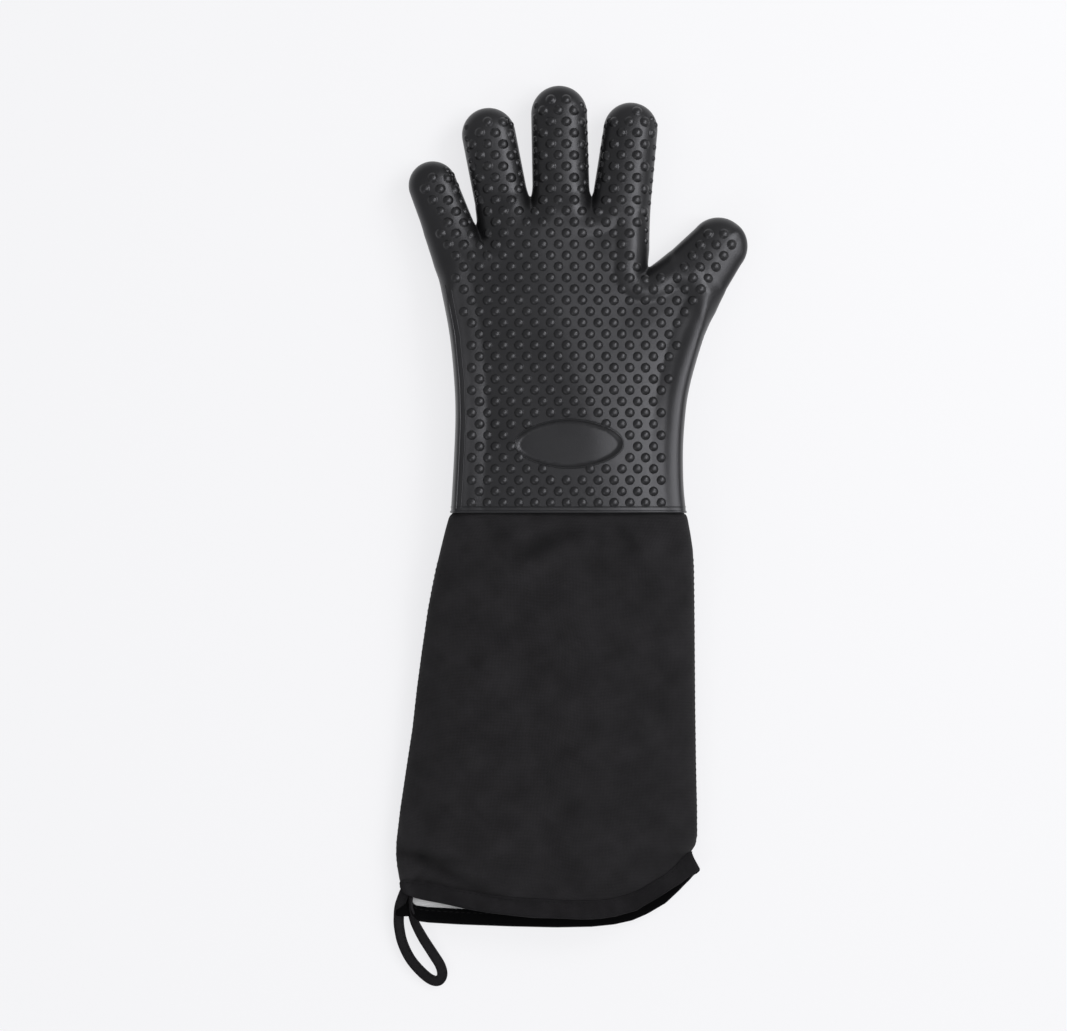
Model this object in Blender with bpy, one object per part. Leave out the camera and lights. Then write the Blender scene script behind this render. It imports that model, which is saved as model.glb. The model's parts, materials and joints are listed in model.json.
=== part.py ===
"""Heat resistant glove lying palm up: silicone hand, sewn liner, padded canvas cuff and a hanging loop.

Fingers point along +Y, the thumb towards +X, and the glove rests on Z = 0.
"""
import math

import bmesh
import bpy
from mathutils import Vector

MM = 0.001
GAP = 0.3 * MM                 # air between neighbouring solids

# Layers, outermost first
SILICONE = 2.0 * MM
WADDING = 2.0 * MM
LINER = 1.0 * MM
CANVAS = 0.8 * MM
CUFF_WADDING = 2.4 * MM
CUFF_LINING = 0.8 * MM
CUFF_WALL = CANVAS + CUFF_WADDING + CUFF_LINING + 2 * GAP
BINDING = 0.9 * MM
BINDING_DEPTH = 12 * MM
HEM_GAP = 0.8 * MM             # air between the panels and their binding
THREAD = 0.7 * MM
STITCH_ROOM = 2 * MM           # from the binding's top edge to the panels' next section
SEAM_TAPE = 1.0 * MM

# Lengths along the glove
WRIST_Y = 14.9 * MM            # lower edge of the silicone
CUFF_REST = BINDING + HEM_GAP   # the cuff's underside, held up by its hem binding
WRIST_TAPE_Y = (15.6 * MM, 27 * MM)
WRIST_THREAD_Y = 20 * MM
WADDING_Y = (30 * MM, 150 * MM)
LINER_Y = (28 * MM, 166 * MM)

# Flexing
FINGER_FLEX = math.radians(60)
CUFF_CUT = math.radians(60)    # slope of the cuff's top edge, steeper than the cuff folds
FINGER_AXIS_Z = 20 * MM
CUFF_AXIS_Z = 26 * MM

# Palm sections: y, left x, right x, height of the middle, half height
PALM = [[value * MM for value in row] for row in (
    (14.9, -71.0, 69.2, 17.0, 17.0),
    (45, -69.3, 67.6, 17.0, 17.4),
    (80, -68.4, 69.4, 17.0, 17.6),
    (110, -70.6, 71.5, 16.7, 17.2),
    (140, -74.5, 62, 16.0, 16.4),
    (166, -76, 43, 15.4, 15.0),
    (182, -60, 36, 15.0, 10.5),
)]
# Cuff sections: y, left x, right x, height of the side seams, height of the top
CUFF = [[value * MM for value in row] for row in (
    (14.9, -70.6, 68.8, 17.0, 33.2),
    (-8, -77.4, 73.4, 15.5, 34.0),
    (-43, -84.9, 74.6, 13.0, 33.0),
    (-90, -91.2, 75.2, 11.0, 31.0),
    (-138, -98.0, 75.8, 9.5, 29.0),
    (-186, -104.0, 76.6, 8.5, 28.0),
    (-232, -101.0, 77.6, 8.5, 27.0),
)]
# The hem: how far down each part of the mouth reaches
HEM_RIGHT_Y, HEM_LEFT_Y = -200 * MM, -211.5 * MM
HEM_FRONT_Y, HEM_BACK_Y = -225.5 * MM, -230.3 * MM

# Fingers: root x and y at the flexing line, tip x and y, half width at root and tip, half height, stub
FINGERS = {
    "little": (-70.5, 180.9, -86.9, 223.6, 15.0, 14.4, 12.0, 38),
    "ring": (-41.4, 204.7, -51.4, 256.1, 16.0, 16.0, 12.8, 52),
    "middle": (-5.3, 208.0, -6.8, 269.6, 17.0, 16.7, 13.2, 56),
    "index": (31.3, 204.2, 38.2, 259.4, 17.4, 16.1, 13.2, 52),
    "thumb": (66.7, 147.0, 99.3, 187.2, 22.6, 17.4, 13.6, 58),
}
STUB_FLARE = {"little": 1.0, "ring": 1.0, "middle": 1.0, "index": 1.06, "thumb": 1.32}
FINGER_CENTRE_Z = 15 * MM
RING_SEGMENTS = 16
MIDDLE_RING = 0.45             # where a stall has its section between root and tip
STUB_START_SCALE = 0.8         # a stub narrows to this at its hidden end
HOLLOW_OVERRUN = 5 * MM        # how far the palm's hollow runs out of the wrist
HOLLOW_REACH = 12 * MM         # how far a finger's hollow runs past the flexing line

# How square the sections are: 2 is an ellipse
PALM_POWER, CUFF_POWER, FINGER_POWER = 2.5, 2.1, 2.25
UNDERSIDE_SINK = 1.5 * MM      # the cuff's curve runs this far below its flat underside
HEM_FULLNESS = 0.75            # below 1, the hem drops away quickly from the side seams
STATION_GAP = 3 * MM           # sections keep this far from a layer's ends

# Angles round the palm and the cuff, in degrees; 0 is the thumb side and 90 the top
FACET = 12
FRONT, BACK, ROUND = (6, 174), (186, 354), (6, 366)
SEAM_ARC = 4.6

# Hanging loop: the middle line of its folded tape, from the hem to the tip and back
LOOP_LINE = ((-101.8, -225.3), (-102.7, -233), (-100.8, -243), (-96.0, -253), (-89.0, -261.5),
             (-81.5, -266.6), (-76.8, -264.6), (-77.6, -257.5), (-82.5, -249.5), (-88.5, -240),
             (-93.5, -231.5), (-97.5, -226))
LOOP_TAPE = (5.6 * MM, 2.0 * MM)
LOOP_TOP_Z, LOOP_TIP_Z = 6.0 * MM, 1.2 * MM
LOOP_END = ((-105.2, -101.0), (-222.0, -219.4), (4.6, 7.4))   # the tape's sewn end: x, y and z ranges

COLOURS = {
    "silicone": ((0.028, 0.028, 0.029, 1), 0.42),
    "canvas": ((0.018, 0.018, 0.020, 1), 0.9),
    "lining": ((0.55, 0.55, 0.56, 1), 0.9),
    "wadding": ((0.62, 0.60, 0.57, 1), 0.95),
    "liner": ((0.50, 0.50, 0.51, 1), 0.9),
    "binding": ((0.010, 0.010, 0.011, 1), 0.8),
    "thread": ((0.02, 0.02, 0.02, 1), 0.7),
}


def clear_scene():
    for thing in list(bpy.data.objects):
        bpy.data.objects.remove(thing, do_unlink=True)


def material(name):
    found = bpy.data.materials.get(name)
    if found:
        return found
    colour, roughness = COLOURS[name]
    made = bpy.data.materials.new(name)
    made.use_nodes = True
    shader = made.node_tree.nodes["Principled BSDF"]
    shader.inputs["Base Color"].default_value = colour
    shader.inputs["Roughness"].default_value = roughness
    shader.inputs["Metallic"].default_value = 0.0
    made.diffuse_color = colour
    return made


def solid(name, points, faces, finish):
    """A named object from points and faces, with its faces turned outwards."""
    mesh = bpy.data.meshes.new(name)
    mesh.from_pydata([tuple(point) for point in points], [], faces)
    shape = bmesh.new()
    shape.from_mesh(mesh)
    bmesh.ops.recalc_face_normals(shape, faces=shape.faces)
    shape.to_mesh(mesh)
    shape.free()
    mesh.materials.append(material(finish))
    mesh.shade_smooth()
    mesh.set_sharp_from_angle(angle=math.radians(40))
    made = bpy.data.objects.new(name, mesh)
    bpy.context.scene.collection.objects.link(made)
    return made


def boolean(target, cutter, operation):
    """Apply one exact Boolean to target and remove the cutter."""
    step = target.modifiers.new("cut", "BOOLEAN")
    step.operation = operation
    step.solver = "EXACT"
    step.object = cutter
    bpy.context.view_layer.update()
    result = bpy.data.meshes.new_from_object(target.evaluated_get(bpy.context.evaluated_depsgraph_get()))
    target.modifiers.clear()
    target.data = result
    bpy.data.objects.remove(cutter, do_unlink=True)


def between(table, y):
    """A row of section values at y, read from a table sorted by its first column."""
    rows = sorted(table)
    if y <= rows[0][0]:
        return rows[0][1:]
    for low, high in zip(rows, rows[1:]):
        if y <= high[0]:
            part = (y - low[0]) / (high[0] - low[0])
            return [a + (b - a) * part for a, b in zip(low[1:], high[1:])]
    return rows[-1][1:]


def rounded(angle, power):
    """A point of the unit superellipse."""
    c, s = math.cos(angle), math.sin(angle)
    return (math.copysign(abs(c) ** (2 / power), c), math.copysign(abs(s) ** (2 / power), s))


def palm_point(angle, y, depth):
    """A point under the palm's surface; angle 0 is the thumb side and 90 degrees is the top."""
    left, right, centre_z, half = between(PALM, y)
    across, up = rounded(angle, PALM_POWER)
    x = (left + right) / 2 + across * ((right - left) / 2 - depth)
    return Vector((x, y, max(centre_z + up * (half - depth), depth)))


def cuff_point(angle, y, depth):
    """A point under the cuff's surface, whose underside lies flatter than its top."""
    left, right, side_z, top_z = between(CUFF, y)
    across, up = rounded(angle, CUFF_POWER)
    reach = top_z - side_z if up > 0 else side_z - CUFF_REST + UNDERSIDE_SINK
    x = (left + right) / 2 + across * ((right - left) / 2 - depth)
    return Vector((x, y, max(side_z + up * (reach - depth), CUFF_REST + depth)))


def hem_y(angle):
    """How far down the mouth reaches at an angle round the cuff."""
    side = HEM_RIGHT_Y if math.cos(angle) > 0 else HEM_LEFT_Y
    lowest = HEM_FRONT_Y if math.sin(angle) > 0 else HEM_BACK_Y
    share = abs(math.sin(angle)) ** HEM_FULLNESS
    flat = (HEM_RIGHT_Y + HEM_LEFT_Y) / 2
    side = flat + (side - flat) * abs(math.cos(angle))
    return side + (lowest - side) * share


def cuff_start_y(point):
    """The cuff's top edge, cut back above the folding axis so that the cuff can fold up."""
    above = max(0.0, point.z - CUFF_AXIS_Z)
    return WRIST_Y - GAP - above * math.tan(CUFF_CUT)


def grid_solid(name, outer, inner, closed, finish):
    """A slab between two grids of points, paired one to one. closed joins the last row to the first."""
    rows, columns = len(outer), len(outer[0])
    points = [p for grid in (outer, inner) for row in grid for p in row]

    def at(layer, i, j):
        return layer * rows * columns + (i % rows) * columns + j

    faces = []
    for i in range(rows if closed else rows - 1):
        for j in range(columns - 1):
            faces.append((at(0, i, j), at(0, i + 1, j), at(0, i + 1, j + 1), at(0, i, j + 1)))
            faces.append((at(1, i, j), at(1, i, j + 1), at(1, i + 1, j + 1), at(1, i + 1, j)))
        for j in (0, columns - 1):
            faces.append((at(0, i, j), at(1, i, j), at(1, i + 1, j), at(0, i + 1, j)))
    if not closed:
        for i in (0, rows - 1):
            for j in range(columns - 1):
                faces.append((at(0, i, j), at(0, i, j + 1), at(1, i, j + 1), at(1, i, j)))
    return solid(name, points, faces, finish)


def arc(first, last):
    """Angles from first to last at the facets' common pitch, so that nested layers stay parallel."""
    count = max(1, round((last - first) / FACET))
    return [math.radians(first + (last - first) * i / count) for i in range(count + 1)]


def stations(table, start, end):
    """Places along the glove from start to end, stopping at each section of the table between them."""
    low, high = min(start, end), max(start, end)
    inner = [row[0] for row in sorted(table) if low + STATION_GAP < row[0] < high - STATION_GAP]
    return [start] + (inner if start < end else inner[::-1]) + [end]


def palm_patch(name, degrees, span, depths, finish, closed=False):
    """A layer of the palm between two depths; closed makes it a full ring."""
    angles = arc(*degrees)[:-1] if closed else arc(*degrees)
    places = stations(PALM, *span)
    grids = [[[palm_point(a, y, depth) for y in places] for a in angles] for depth in depths]
    return grid_solid(name, grids[0], grids[1], closed, finish)


def cuff_patch(name, degrees, depths, finish):
    """A layer of the cuff between two depths, from the wrist to the hem."""
    grids = []
    for depth in depths:
        grid = []
        for a in arc(*degrees):
            first = cuff_start_y(cuff_point(a, WRIST_Y, depth))
            bound = hem_y(a) + BINDING_DEPTH + STITCH_ROOM
            places = [first] + [row[0] for row in CUFF[2:-1] if row[0] > bound + GAP] + [bound, hem_y(a)]
            grid.append([cuff_point(a, y, depth) for y in places])
        grids.append(grid)
    return grid_solid(name, grids[0], grids[1], False, finish)


def cuff_ring(name, profile, finish):
    """A closed ring round the mouth; profile lists (depth, height above the hem edge)."""
    points, faces = [], []
    angles = arc(*ROUND)[:-1]
    segments = len(angles)
    for a in angles:
        points += [cuff_point(a, hem_y(a), depth) + Vector((0, rise, 0)) for depth, rise in profile]
    size = len(profile)
    for i in range(segments):
        for j in range(size):
            k = (j + 1) % size
            near, far = i * size, (i + 1) % segments * size
            faces.append((near + j, near + k, far + k, far + j))
    return solid(name, points, faces, finish)


class Finger:
    """One finger's frame: root on the flexing line, u along the finger, v across it."""

    def __init__(self, name):
        values = [value * MM for value in FINGERS[name]]
        self.name = name
        self.root = Vector((values[0], values[1], FINGER_CENTRE_Z))
        reach = Vector((values[2], values[3], FINGER_CENTRE_Z)) - self.root
        self.length = reach.length
        self.along = reach.normalized()
        self.across = Vector((self.along.y, -self.along.x, 0))
        self.root_half, self.tip_half, self.half_height, self.stub = values[4:]

    def half_width(self, u):
        if u < 0:
            return self.root_half * (1 + (STUB_FLARE[self.name] - 1) * -u / self.stub)
        return self.root_half + (self.tip_half - self.root_half) * min(1, u / (self.length - self.tip_half))

    def relief(self, z):
        """How far the edge is cut back above the flexing axis."""
        return GAP / 2 + max(0.0, z - FINGER_AXIS_Z) * math.tan(FINGER_FLEX / 2)

    def ring(self, u, depth, scale=1.0, relief=0):
        """One section; relief is 1 on the moving side, -1 on the palm's side and 0 elsewhere."""
        wide = (self.half_width(u) - depth) * scale
        high = (self.half_height - depth) * scale
        made = []
        for i in range(RING_SEGMENTS):
            v, w = rounded(math.tau * (i + 0.5) / RING_SEGMENTS, FINGER_POWER)
            point = self.root + self.across * (v * wide) + Vector((0, 0, w * high))
            made.append(point + self.along * (u + relief * self.relief(point.z)))
        return made

    def tip_rings(self, depth):
        """The round end: shrinking sections and the pole."""
        radius = self.tip_half - depth
        centre = self.length - self.tip_half
        rings = []
        for degrees in (0, 28, 52, 72):
            a = math.radians(degrees)
            rings.append(self.ring(centre + radius * math.sin(a), depth, math.cos(a)))
        return rings, self.root + self.along * (centre + radius)

    def shell(self, name, outer, inner, finish):
        """A stall, open at the flexing line and closed at the tip."""
        layers = []
        for depth in (outer, inner):
            rings, pole = self.tip_rings(depth)
            middle = (self.length - self.tip_half) * MIDDLE_RING
            layers.append(([self.ring(0, depth, 1, 1), self.ring(middle, depth)] + rings, pole))
        points, faces, starts = [], [], []
        n = RING_SEGMENTS
        for rings, pole in layers:
            starts.append(len(points))
            points += [p for ring in rings for p in ring] + [pole]
            first, last = starts[-1], starts[-1] + (len(rings) - 1) * n
            for r in range(len(rings) - 1):
                base = first + r * n
                faces += [(base + i, base + (i + 1) % n, base + n + (i + 1) % n, base + n + i)
                          for i in range(n)]
            faces += [(last + i, last + (i + 1) % n, last + n) for i in range(n)]
        a, b = starts
        faces += [(a + i, a + (i + 1) % n, b + (i + 1) % n, b + i) for i in range(n)]
        return solid(name, points, faces, finish)

    def core(self, name, depth, reach):
        """A closed plug of the stub, to build up or hollow out the palm; reach passes the flexing line."""
        rings = [self.ring(-self.stub + depth * 2, depth, STUB_START_SCALE),
                 self.ring(-self.stub / 2, depth)]
        rings.append(self.ring(0, depth, 1, -1) if reach == 0 else self.ring(reach, depth))
        n = RING_SEGMENTS
        points = [p for ring in rings for p in ring]
        faces = []
        for r in range(len(rings) - 1):
            base = r * n
            faces += [(base + i, base + (i + 1) % n, base + n + (i + 1) % n, base + n + i)
                      for i in range(n)]
        for base in (0, (len(rings) - 1) * n):
            # The caps join points at the same height, so that each strip is flat.
            ladder = [(base + n // 4 - 1 - i, base + n // 4 + i) for i in range(n // 4)]
            ladder += [(base + (n - 1 - i), base + (n // 2 + i)) for i in range(n // 4)]
            faces += [(p, q, s, r) for (p, q), (r, s) in zip(ladder, ladder[1:])]
        return solid(name, points, faces, "silicone")


def palm_core(name, depth, start):
    """The palm's closed volume at a depth; start is where its lower end lies."""
    angles = arc(*ROUND)[:-1]
    n = len(angles)
    places = stations(PALM, start, PALM[-1][0] - depth)
    points, faces = [], []
    for y in places:
        points += [palm_point(a, y, depth) for a in angles]
    for r in range(len(places) - 1):
        base = r * n
        faces += [(base + i, base + (i + 1) % n, base + n + (i + 1) % n, base + n + i) for i in range(n)]
    faces += [tuple(range(n)), tuple(range(len(points) - n, len(points)))]
    return solid(name, points, faces, "silicone")


def silicone_palm(fingers):
    palm = palm_core("silicone_palm", 0, WRIST_Y)
    for finger in fingers:
        boolean(palm, finger.core("stub", 0, 0), "UNION")
    hollow = palm_core("hollow", SILICONE, WRIST_Y - HOLLOW_OVERRUN)
    boolean(palm, hollow, "DIFFERENCE")
    for finger in fingers:
        boolean(palm, finger.core("hollow", SILICONE, HOLLOW_REACH), "DIFFERENCE")
    return palm


def hand_layers():
    wadding_depths = (SILICONE + GAP, SILICONE + GAP + WADDING)
    liner_depths = (wadding_depths[1] + GAP, wadding_depths[1] + GAP + LINER)
    palm_patch("hand_wadding_front", FRONT, WADDING_Y, wadding_depths, "wadding")
    palm_patch("hand_wadding_back", BACK, WADDING_Y, wadding_depths, "wadding")
    palm_patch("liner_palm_front", FRONT, LINER_Y, liner_depths, "liner")
    palm_patch("liner_palm_back", BACK, LINER_Y, liner_depths, "liner")
    tape_depths = (SILICONE + THREAD + 2 * GAP, SILICONE + THREAD + 2 * GAP + SEAM_TAPE)
    thread_depths = (SILICONE + GAP, SILICONE + GAP + THREAD)
    thread_y = (WRIST_THREAD_Y, WRIST_THREAD_Y + THREAD)
    palm_patch("wrist_tape", ROUND, WRIST_TAPE_Y, tape_depths, "canvas", True)
    palm_patch("wrist_stitching", ROUND, thread_y, thread_depths, "thread", True)


def cuff_layers():
    canvas = (0, CANVAS)
    wadding = (CANVAS + GAP, CANVAS + GAP + CUFF_WADDING)
    lining = (wadding[1] + GAP, CUFF_WALL)
    for side, degrees in (("front", FRONT), ("back", BACK)):
        cuff_patch("cuff_canvas_" + side, degrees, canvas, "canvas")
        cuff_patch("cuff_wadding_" + side, degrees, wadding, "wadding")
        cuff_patch("cuff_lining_" + side, degrees, lining, "lining")
    cuff_patch("side_seam_left", (180 - SEAM_ARC, 180 + SEAM_ARC), (GAP, CUFF_WALL), "canvas")
    cuff_patch("side_seam_right", (-SEAM_ARC, SEAM_ARC), (GAP, CUFF_WALL), "canvas")


def hem():
    outside, inside = -HEM_GAP, CUFF_WALL + HEM_GAP
    top, edge, foot = BINDING_DEPTH, -HEM_GAP, -HEM_GAP - BINDING
    cuff_ring("hem_binding", (
        (outside, top), (outside - BINDING, top), (outside - BINDING, foot), (inside + BINDING, foot),
        (inside + BINDING, top), (inside, top), (inside, edge), (outside, edge),
    ), "binding")
    low, high = BINDING_DEPTH + GAP * 3, BINDING_DEPTH + GAP * 3 + THREAD
    outer = outside - THREAD
    cuff_ring("hem_stitching", ((outside, low), (outside, high), (outer, high), (outer, low)), "thread")


def loop_end():
    """The stitched end of the tape that holds the loop to the hem's corner."""
    (x0, x1), (y0, y1), (z0, z1) = ((low * MM, high * MM) for low, high in LOOP_END)
    points = [(x, y, z) for x in (x0, x1) for y in (y0, y1) for z in (z0, z1)]
    faces = [(0, 1, 3, 2), (4, 6, 7, 5), (0, 4, 5, 1), (2, 3, 7, 6), (0, 2, 6, 4), (1, 5, 7, 3)]
    return solid("loop_end", points, faces, "binding")


def hanging_loop():
    """The folded tape, swept round its middle line as one flat ring that slopes down to its tip."""
    line = [Vector((x * MM, y * MM, 0)) for x, y in LOOP_LINE]
    smooth = []
    for i in range(len(line)):
        a, b, c, d = (line[(i + k - 1) % len(line)] for k in range(4))
        for t in (0.0, 0.5):
            smooth.append(0.5 * (2 * b + (c - a) * t + (2 * a - 5 * b + 4 * c - d) * t ** 2
                                 + (3 * b - a - 3 * c + d) * t ** 3))
    top, tip = max(p.y for p in smooth), min(p.y for p in smooth)
    wide, thick = LOOP_TAPE
    points, faces = [], []
    count = len(smooth)
    for i, point in enumerate(smooth):
        along = (smooth[(i + 1) % count] - smooth[i - 1]).normalized()
        side = Vector((along.y, -along.x, 0)) * wide / 2
        z = LOOP_TIP_Z + (LOOP_TOP_Z - LOOP_TIP_Z) * (point.y - tip) / (top - tip)
        corners = ((side, -thick / 2), (side, thick / 2), (-side, thick / 2), (-side, -thick / 2))
        for offset, rise in corners:
            points.append(point + offset + Vector((0, 0, z + rise)))
    for i in range(count):
        near, far = 4 * i, 4 * ((i + 1) % count)
        faces += [(near + j, near + (j + 1) % 4, far + (j + 1) % 4, far + j) for j in range(4)]
    return solid("hanging_loop", points, faces, "binding")


def main():
    clear_scene()
    fingers = [Finger(name) for name in FINGERS]
    silicone_palm(fingers)
    for finger in fingers:
        finger.shell("silicone_" + finger.name, 0, SILICONE, "silicone")
        finger.shell("liner_" + finger.name, SILICONE + GAP, SILICONE + GAP + LINER, "liner")
    hand_layers()
    cuff_layers()
    hem()
    loop_end()
    hanging_loop()


main()
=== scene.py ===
"""Looks of the heat resistant glove: silicone skin, canvas cuff, hem, lining and loop."""
import json
import math

import bmesh
import bpy
import numpy as np
from mathutils import Matrix, Vector
from mathutils.bvhtree import BVHTree


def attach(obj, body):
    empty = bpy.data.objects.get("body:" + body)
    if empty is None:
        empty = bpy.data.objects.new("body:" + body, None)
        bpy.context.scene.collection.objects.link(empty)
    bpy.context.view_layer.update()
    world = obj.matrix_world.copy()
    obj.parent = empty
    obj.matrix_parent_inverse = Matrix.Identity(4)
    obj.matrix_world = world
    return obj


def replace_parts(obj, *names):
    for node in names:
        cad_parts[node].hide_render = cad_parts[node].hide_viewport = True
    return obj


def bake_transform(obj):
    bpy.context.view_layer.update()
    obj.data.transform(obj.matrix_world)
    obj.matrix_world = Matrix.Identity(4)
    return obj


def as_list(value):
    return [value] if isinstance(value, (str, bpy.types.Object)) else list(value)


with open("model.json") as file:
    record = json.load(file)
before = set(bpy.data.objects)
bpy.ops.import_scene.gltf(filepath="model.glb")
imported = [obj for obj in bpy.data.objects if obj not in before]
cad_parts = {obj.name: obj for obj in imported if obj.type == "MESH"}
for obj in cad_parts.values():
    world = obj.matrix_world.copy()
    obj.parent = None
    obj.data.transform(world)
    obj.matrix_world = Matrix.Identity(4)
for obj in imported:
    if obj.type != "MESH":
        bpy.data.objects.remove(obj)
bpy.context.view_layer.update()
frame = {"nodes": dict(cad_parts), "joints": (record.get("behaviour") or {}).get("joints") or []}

MM = 0.001
UP = Vector((0, 0, 1))

JOINTS = {joint["name"]: joint for joint in frame["joints"]}
FINGER_NAMES = ("little", "ring", "middle", "index", "thumb")
HAND_PARTS = ("palm", *FINGER_NAMES)
WRIST_Y = JOINTS["cuff_fold"]["pos_m"][1] / MM


# ---- small tools
def tube_faces(first, rings, sides):
    """Quads that join rings of points, each with this many sides, counted from the first point."""
    return [(low + k, low + (k + 1) % sides, low + sides + (k + 1) % sides, low + sides + k)
            for low in range(first, first + (rings - 1) * sides, sides) for k in range(sides)]


def closed_tube(first, rings, sides):
    """The same, with both ends closed."""
    last = first + (rings - 1) * sides
    return tube_faces(first, rings, sides) + [tuple(reversed(range(first, first + sides))),
                                              tuple(range(last, last + sides))]


def smooth_step(t):
    """An even rise from 0 to 1."""
    return t * t * (3 - 2 * t)


def unit(vector):
    """The vector at length one, or next to nothing where it has no length."""
    return vector / max(np.linalg.norm(vector), 1e-9)


def smooth_curve(points, steps=8):
    """A Catmull-Rom curve through the points, as an array."""
    pts = np.array(points, float)
    last = len(pts) - 1
    out = []
    for i in range(last):
        a, b, c, d = (pts[min(max(i + k - 1, 0), last)] for k in range(4))
        for t in np.linspace(0, 1, steps, endpoint=False):
            out.append(0.5 * (2 * b + (c - a) * t + (2 * a - 5 * b + 4 * c - d) * t * t
                              + (3 * b - a - 3 * c + d) * t ** 3))
    return np.array(out + [pts[-1]])


def add_object(name, data):
    """A new object in the scene."""
    made = bpy.data.objects.new(name, data)
    bpy.context.scene.collection.objects.link(made)
    return made


def mesh_object(name, points, faces, material, smooth=True):
    """A new object from points in millimetres."""
    mesh = bpy.data.meshes.new(name)
    mesh.from_pydata((np.asarray(points, float) * MM).tolist(), [], [tuple(f) for f in faces])
    mesh.validate()
    mesh.materials.append(material)
    if smooth:
        mesh.shade_smooth()
    return add_object(name, mesh)


def surface_net(field, origin, step):
    """Points and quads of the zero surface of a 3-D field that is positive inside."""
    shape = tuple(n - 1 for n in field.shape)
    total, hits = np.zeros(shape + (3,)), np.zeros(shape)
    index = np.arange(hits.size).reshape(shape)
    quads = []
    for axis in range(3):
        low, high = [slice(None)] * 3, [slice(None)] * 3
        low[axis], high[axis] = slice(0, -1), slice(1, None)
        a, b = field[tuple(low)], field[tuple(high)]
        spots = np.argwhere((a > 0) != (b > 0))
        va, vb = a[tuple(spots.T)], b[tuple(spots.T)]
        place = spots.astype(float)
        place[:, axis] += va / (va - vb)
        first, second = (other for other in range(3) if other != axis)
        corners = []
        for du, dv in ((-1, -1), (0, -1), (0, 0), (-1, 0)):
            cell = spots.copy()
            cell[:, first] += du
            cell[:, second] += dv
            cell = tuple(cell.T)
            corners.append(index[cell])
            np.add.at(total, cell, place)
            np.add.at(hits, cell, 1)
        quad = np.stack(corners, 1)
        flip = (va > 0) == (axis == 1)
        quad[flip] = quad[flip][:, ::-1]
        quads.append(quad)
    used = np.nonzero(hits.ravel())[0]
    renumber = np.full(hits.size, -1)
    renumber[used] = np.arange(len(used))
    points = total.reshape(-1, 3)[used] / hits.ravel()[used][:, None] * step + np.array(origin)
    return points, renumber[np.concatenate(quads)]


# ---- silicone hand
class Finger:
    """A finger's place, read from its flexing joint and its silicone stall; millimetres."""

    def __init__(self, name):
        joint = JOINTS[name + "_flex"]
        axis = Vector(joint["axis"])
        self.name = name
        self.along = np.array(UP.cross(axis).normalized())[:2]
        self.across = np.array(axis)[:2]
        self.root = np.array(joint["pos_m"])[:2] / MM
        co = np.array([v.co for v in frame["nodes"]["silicone_" + name].data.vertices]) / MM
        u, v = self.uv(co)
        top, bottom = co[:, 2].max(), co[:, 2].min()
        self.length = u.max()
        self.root_half = np.abs(v[u < 8]).max()
        self.tip_half = np.abs(v[u > self.length * 0.5]).max()
        self.tip = self.length - self.tip_half  # where its round end begins
        self.centre_z, self.half_height = (top + bottom) / 2, (top - bottom) / 2

    def uv(self, points):
        """How far points lie along the finger from its flexing line, and how far across it."""
        flat = points[:, :2] - self.root
        return flat @ self.along, flat @ self.across


FINGERS = {name: Finger(name) for name in FINGER_NAMES}
# How far inside the palm each finger's volume starts, and its half width there
FINGER_ROOTS = {"little": (14, 15.6), "ring": (24, 15.8), "middle": (24, 16.6), "index": (36, 18.6),
                "thumb": (32, 30.0)}
# Where each finger meets the hand: this far before the flexing line
WEB_BACK = {"little": 8.5, "ring": 6.5, "middle": 8.5, "index": 7.0, "thumb": 5.5}
WEB_SPARE = 4  # a cut at the web is this much wider than half the finger's root

# The palm's outline, from the wrist up the little finger's side
PALM_LEFT = ((-71.4, -60), (-71.4, 4), (-71.0, 14.9), (-69.5, 41), (-68.3, 70), (-68.9, 92),
             (-71.6, 120), (-76.4, 146), (-81.2, 168))
# across the webs, where it runs a little way into each finger's root
PALM_WEBS = ((-85.0, 181), (-85.4, 189), (-80, 197), (-69, 194), (-61, 186), (-53.4, 178.8),
             (-54, 196), (-42, 208), (-28, 206), (-23.6, 199.4), (-19, 208), (8, 208),
             (12.7, 198.4), (28, 207), (45, 197), (46.5, 172), (45.2, 158.6), (60, 168),
             (78, 164), (90, 146), (86.4, 134.6), (83.2, 128.4))
# and down the thumb's side
PALM_RIGHT = ((79.8, 120.5), (75.4, 106), (71.7, 91.7), (69.2, 77.4), (67.5, 55), (67.7, 32),
              (69.2, 14.9), (69.6, 4), (69.6, -60))
# The palm's middle height and half height along its length
PALM_MIDDLE = ((15, 100, 140, 180, 205), (17, 17, 16.2, 15.4, 15))
PALM_HALF = ((15, 45, 80, 110, 140, 170, 200), (16.8, 17.1, 17.4, 17.1, 16.4, 15.4, 14.2))
SHOULDER, SHOULDER_POWER = 19.0, 2.25  # how far in its edge rounds over at the webs, how squarely
SIDE_SHOULDER = 3.4  # and how far along the palm's two long sides
# Along the long sides the palm steps down to a smooth shelf: distance in, share of the height
SHELF_LEFT = ((0, 0.80), (2.5, 0.85), (5, 0.885), (8, 0.900), (9.5, 0.905), (12, 0.926),
              (16, 0.95), (22, 0.972), (30, 0.99), (40, 1.0))
SHELF_RIGHT = ((0, 0.66), (2.5, 0.715), (4, 0.75), (6, 0.783), (8, 0.804), (10.5, 0.815),
               (12, 0.822), (15, 0.86), (20, 0.92), (28, 0.97), (40, 1.0))
SIDE_ENDS = ((172, 135), (150, 124))  # the shelf fades in from here to there, left and right
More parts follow.
